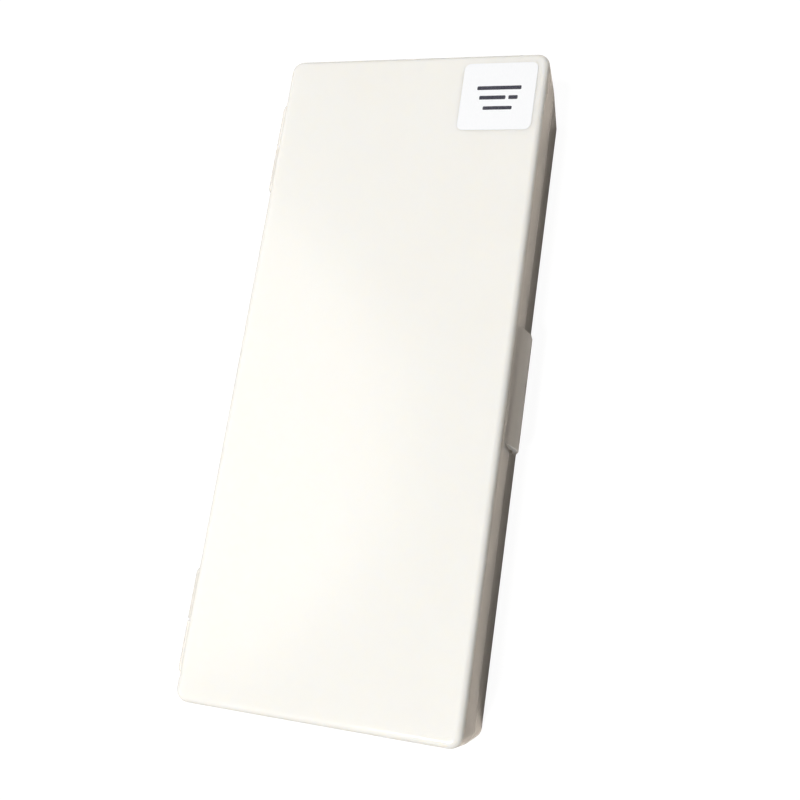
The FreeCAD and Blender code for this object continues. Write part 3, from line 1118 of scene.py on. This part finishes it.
@dataclass(frozen=True)
class Slides:
    """The fifty slides, each standing on its long edge with its label, its specimen and its cover slip."""

    palette: Palette
    slots: Slots
    length: float = 76.2
    width: float = 25.4
    thickness: float = 1.1
    ground_edge: float = 0.12
    label_length: float = 21.0
    label_margin: float = 0.7
    label_thickness: float = 0.1
    rules: int = 4
    rule_foot: float = 6.0
    rule_pitch: float = 4.2
    rule_inset: float = 2.0
    rule_width: float = 0.2
    ink: float = 0.01
    specimen_radius: float = 4.0
    specimen_thickness: float = 0.08
    specimen_steps: int = 28
    specimen_least: float = 0.6
    specimen_mean: float = 0.92
    specimen_waves: tuple[Point, ...] = ((0.10, 2, 0.6), (0.07, 3, 0.0), (0.035, 7, 1.0))
    cover_half: float = 11.0
    cover_margin: float = 1.7
    cover_thickness: float = 0.15

    def spans(self, out: Pair, across: Pair, up: Pair) -> list[Pair]:
        """X, Y and Z from spans out from the glass's face, across from one end and up from its foot."""
        starts = (self.thickness / 2, -self.length / 2, self.slots.floor)
        return [(start + low, start + high) for start, (low, high) in zip(starts, (out, across, up))]

    def glass(self) -> Solids:
        """One slide."""
        return Solids().block(*self.spans((-self.thickness, 0.0), (0.0, self.length), (0.0, self.width)))

    def label(self) -> Solids:
        """One slide's paper label.

        Returns:
            The label.
        """
        across = (self.label_margin, self.label_margin + self.label_length)
        up = (self.label_margin, self.width - self.label_margin)
        return Solids().block(*self.spans((0.0, self.label_thickness), across, up))

    def ruling(self) -> Solids:
        """The ruled lines on one slide's label.

        Returns:
            The lines.
        """
        lines = Solids()
        out = about(self.label_thickness, self.ink)
        start = self.label_margin + self.rule_inset
        across = (start, start + self.label_length - 2 * self.rule_inset)
        for line in range(self.rules):
            foot = self.rule_foot + self.rule_pitch * line
            lines.block(*self.spans(out, across, (foot, foot + self.rule_width)))
        return lines

    def tissue(self) -> Solids:
        """One section of tissue, a thin sheet with a wavy edge, drawn about its middle.

        Returns:
            The sheet.
        """
        face = self.thickness / 2
        outline = []
        for step in range(self.specimen_steps):
            turn = tau * step / self.specimen_steps
            wave = sum(share * sin(waves * turn + start) for share, waves, start in self.specimen_waves)
            radius = self.specimen_radius * (self.specimen_mean + wave)
            outline.append((radius * cos(turn), radius * sin(turn)))
        return Solids().prism(outline, (face, face + self.specimen_thickness))

    def cover(self) -> Solids:
        """One cover slip.

        Returns:
            The slip.
        """
        out = (self.specimen_thickness, self.specimen_thickness + self.cover_thickness)
        up = (self.cover_margin, self.cover_margin + 2 * self.cover_half)
        return Solids().block(*self.spans(out, about(self.length / 2, self.cover_half), up))

    def build(self) -> None:
        """Make the rows of slides and of what is on them, and dress them."""
        slots, palette = self.slots, self.palette
        names = tuple(f"slide_{number:02d}" for number, _ in slots.places())
        turned = {"height": (slots.floor + self.width / 2) * MM, "spin": tau, "least": self.specimen_least}
        kinds = (
            ("slides", self.glass(), palette.glass, Slot.GLASS, names, {}),
            ("slide_label_papers", self.label(), palette.slide_label, Slot.SLIDE_LABEL,
             ("slide_labels",), {}),
            ("slide_label_rules", self.ruling(), palette.blue_ink, None, (), {}),
            ("slide_tissue", self.tissue(), palette.tissue, Slot.TISSUE, ("specimens",), turned),
            ("slide_covers", self.cover(), palette.cover, Slot.COVER, ("cover_slips",), {}),
        )
        for name, solids, material, slot, nodes, extra in kinds:
            piece = solids.made(name, self.ground_edge if slot is Slot.GLASS else 0.0, 1)
            slots.row.set_out(piece, material=material, count=slots.count, pitch=slots.pitch * MM,
                              foot=slots.floor * MM, lean=radians(slots.lean), **extra)
            dress(piece, material, Ride.BASE, slot, *nodes)


@dataclass(frozen=True)
class BoxLabel:
    """The square sticker on the lid, with bars where words would be."""

    palette: Palette
    middle: Pair = (88.25, -27.65)
    half: float = 11.35
    corner: float = 2.0
    foot: float = 35.0
    thickness: float = 0.1
    words: tuple[tuple[Pair, Pair], ...] = (
        ((90.4, 91.7), (-34.7, -21.1)),
        ((87.1, 88.4), (-30.2, -22.1)),
        ((87.1, 88.4), (-33.9, -31.1)),
        ((83.6, 84.8), (-32.5, -23.6)),
    )
    word_corner: float = 0.3
    ink_sunk: float = 0.02
    ink_raised: float = 0.01

    def build(self) -> None:
        """Make the sticker and its print, and dress them."""
        top = self.foot + self.thickness
        along, across = (about(middle, self.half) for middle in self.middle)
        paper = Solids().plate(along, across, (self.foot, top), self.corner)
        bars = Solids()
        for along, across in self.words:
            bars.plate(along, across, (top - self.ink_sunk, top + self.ink_raised), self.word_corner)
        dress(paper.made("label_paper"), self.palette.sticker, Ride.LID, Slot.STICKER, "box_label")
        dress(bars.made("label_print"), self.palette.black_ink, Ride.LID, None)


@dataclass(frozen=True)
class IndexCard:
    """The card inside the lid, with a numbered line for each slide."""

    palette: Palette
    half_length: float = 94.2925
    half_width: float = 33.3
    corner: float = 2.0
    foot: float = 32.7
    top: float = 33.0
    columns: int = 5
    rows: int = 10
    column_width: float = 36.0
    row_height: float = 5.9
    number_in: float = 3.2
    number_height: float = 2.3
    rule: float = 0.2
    rule_start: float = 6.7
    rule_stop: float = 33.7
    rule_rise: float = 1.8
    rule_corner: float = 0.02
    frame_shift: Pair = (-0.2, 0.6)
    ink: float = 0.02
    ink_sunk: float = 0.005

    def column(self, number: int) -> float:
        """Where a column starts."""
        return self.column_width * (number - self.columns / 2)

    def cells(self) -> list[tuple[int, float, float]]:
        """Each line's number, and the left end and height of its cell, from the front edge to the hinges.

        Returns:
            The cells, in the order of their numbers.
        """
        return [
            (column * self.rows + row + 1, self.column(column), self.row_height * (row + 0.5 - self.rows / 2))
            for column in range(self.columns)
            for row in range(self.rows)
        ]

    def numbers(self) -> Solids:
        """The lines' numbers, on the card's underside.

        Returns:
            The numbers.
        """
        z = self.foot - self.ink / 2 + self.ink_sunk
        places = [(number, Vector((x + self.number_in, y, z))) for number, x, y in self.cells()]
        return Solids().numbers(places, self.number_height, self.ink, face_down=True)

    def ruling(self) -> Solids:
        """A ruled line beside each number, and a frame line between the columns.

        Returns:
            The lines.
        """
        lines = Solids()
        depth = (self.foot - self.ink + self.ink_sunk, self.foot + self.ink_sunk)
        half = self.rule / 2
        for _, x, y in self.cells():
            along = (x + self.rule_start, x + self.rule_stop)
            lines.plate(along, about(y + self.rule_rise, half), depth, self.rule_corner, 1)
        across = about(self.frame_shift[1], self.row_height * self.rows / 2)
        for column in range(1, self.columns):
            along = about(self.column(column) + self.frame_shift[0], half)
            lines.plate(along, across, depth, self.rule_corner, 1)
        return lines

    def build(self) -> None:
        """Make the card and its print, and dress them."""
        card = Solids().plate(about(0.0, self.half_length), about(0.0, self.half_width),
                              (self.foot, self.top), self.corner)
        dress(card.made("card_paper"), self.palette.card, Ride.LID, Slot.CARD, "index_card")
        dress(self.numbers().made("card_numbers"), self.palette.black_ink, Ride.LID, None)
        dress(self.ruling().made("card_rules"), self.palette.blue_ink, Ride.LID, None)


@dataclass(frozen=True)
class HingePins:
    """The two steel pins, whose construction solids are shown as they are."""

    palette: Palette
    names: tuple[str, ...] = ("hinge_pin_far", "hinge_pin_near")

    def build(self) -> None:
        """Give the pins their finish."""
        for name in self.names:
            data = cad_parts[name].data
            data.materials.clear()
            data.materials.append(self.palette.steel)
            log.info("%s: drawn steel", name)


# ---- Studio ----


@dataclass(frozen=True)
class View:
    """Where the camera stands and how it looks, in the part's frame."""

    place: Point = (-0.0755, -0.07898, 0.25903)
    turn: Point = (12.0565, 13.1852, -81.6263)
    lens_mm: float = 37.66
    sensor_mm: float = 36.0
    shift: Pair = (-0.0196, 0.1085)
    nearest: float = 0.005

    def build(self) -> None:
        """Make the scene's camera."""
        data = bpy.data.cameras.new("camera")
        data.lens = self.lens_mm
        data.sensor_width = self.sensor_mm
        data.shift_x, data.shift_y = self.shift
        data.clip_start = self.nearest
        camera = placed("camera", data)
        camera.location = self.place
        camera.rotation_euler = [radians(angle) for angle in self.turn]
        bpy.context.scene.camera = camera


@dataclass(frozen=True)
class Lamp:
    """A soft round lamp that points at the box."""

    name: str
    place: Point
    size: float
    watts: float
    colour: Point = (1.0, 1.0, 1.0)
    glare: bool = True
    target: Point = (0.0, 0.0, 0.02)

    def build(self) -> None:
        """Make the lamp."""
        data = bpy.data.lights.new(self.name, "AREA")
        data.shape = "DISK"
        data.size = self.size
        data.energy = self.watts
        data.color = self.colour
        lamp = placed(self.name, data)
        lamp.location = self.place
        lamp.visible_glossy = self.glare
        away = Vector(self.place) - Vector(self.target)
        lamp.rotation_euler = away.to_track_quat("Z", "Y").to_euler()


@dataclass(frozen=True)
class Studio:
    """The floor, the world and the lamps."""

    sky: float = 0.05
    sky_seen: float = 1.0
    floor_as_light: Colour = (0.06, 0.053, 0.046, 1.0)
    floor_seen: Colour = (0.1, 0.1, 0.1, 1.0)
    floor_in_gloss: Colour = (0.88, 0.785, 0.69, 1.0)
    floor_glow: float = 0.95
    floor_half: float = 6.0
    clear_layers: int = 64
    lamps: tuple[Lamp, ...] = (
        Lamp("key", (-1.15, 0.24, 2.4), 0.36, 61.0, (1.0, 0.985, 0.97)),
        Lamp("side", (0.3, 1.0, 1.5), 1.2, 7.0, (1.0, 0.985, 0.965)),
        Lamp("back", (0.9, 1.6, 0.8), 1.2, 5.0, (1.0, 0.985, 0.965), glare=False),
        Lamp("fill", (0.5, -1.5, 0.5), 0.9, 1.8, (1.0, 0.97, 0.93), glare=False),
    )

    def seen(self, nodes: Nodes) -> Value:
        """One for rays that show the background itself: from the camera, a reflection or clear glass."""
        camera, glossy, clear = (nodes.node("ShaderNodeLightPath", {}, f"Is {kind} Ray")
                                 for kind in ("Camera", "Glossy", "Transmission"))
        return (camera + glossy + clear) > 0.5

    def floor(self) -> None:
        """Make the floor: white where it is seen, with the box's soft shadow."""
        s = Shader("floor")
        dim, pale, shiny = (
            s.node("ShaderNodeBsdfDiffuse", {"Color": colour})
            for colour in (self.floor_as_light, self.floor_seen, self.floor_in_gloss)
        )
        glow = s.node("ShaderNodeEmission", {"Color": WHITE, "Strength": self.floor_glow})
        bright = s.node("ShaderNodeAddShader", {0: pale, 1: glow})
        gloss = s.node("ShaderNodeLightPath", {}, "Is Glossy Ray")
        bright = s.node("ShaderNodeMixShader", {0: gloss, 1: bright, 2: shiny})
        material = s.finish(s.node("ShaderNodeMixShader", {0: self.seen(s), 1: dim, 2: bright}))
        data = bpy.data.meshes.new("floor")
        corners = [(x * self.floor_half, y * self.floor_half, 0.0)
                   for x, y in ((-1, -1), (1, -1), (1, 1), (-1, 1))]
        data.from_pydata(corners, [], [(0, 1, 2, 3)])
        data.materials.append(material)
        placed("floor", data)

    def world(self) -> None:
        """Make a plain white sky, dimmer as light than as it is seen."""
        world = bpy.data.worlds.new("sky")
        bpy.context.scene.world = world
        world.use_nodes = True
        w = Nodes(world.node_tree)
        level = self.seen(w) * (self.sky_seen - self.sky) + self.sky
        white = w.node("ShaderNodeBackground", {"Color": WHITE, "Strength": level})
        w.node("ShaderNodeOutputWorld", {"Surface": white})

    def build(self) -> None:
        """Make the whole studio."""
        self.floor()
        self.world()
        for lamp in self.lamps:
            lamp.build()
        bpy.context.scene.view_settings.view_transform = "Standard"
        bpy.context.scene.cycles.transparent_max_bounces = self.clear_layers


def main() -> None:
    """Build the box's looks in order."""
    logging.basicConfig(level=logging.INFO, format="%(message)s")
    palette = Palette()
    shell = Shell()
    slots = Slots(palette, Row())
    for part in (Lid(palette, shell), Tray(palette, shell), slots, Slides(palette, slots), HingePins(palette),
                 BoxLabel(palette), IndexCard(palette), Studio(), View()):
        part.build()


if __name__ == "__main__":
    main()
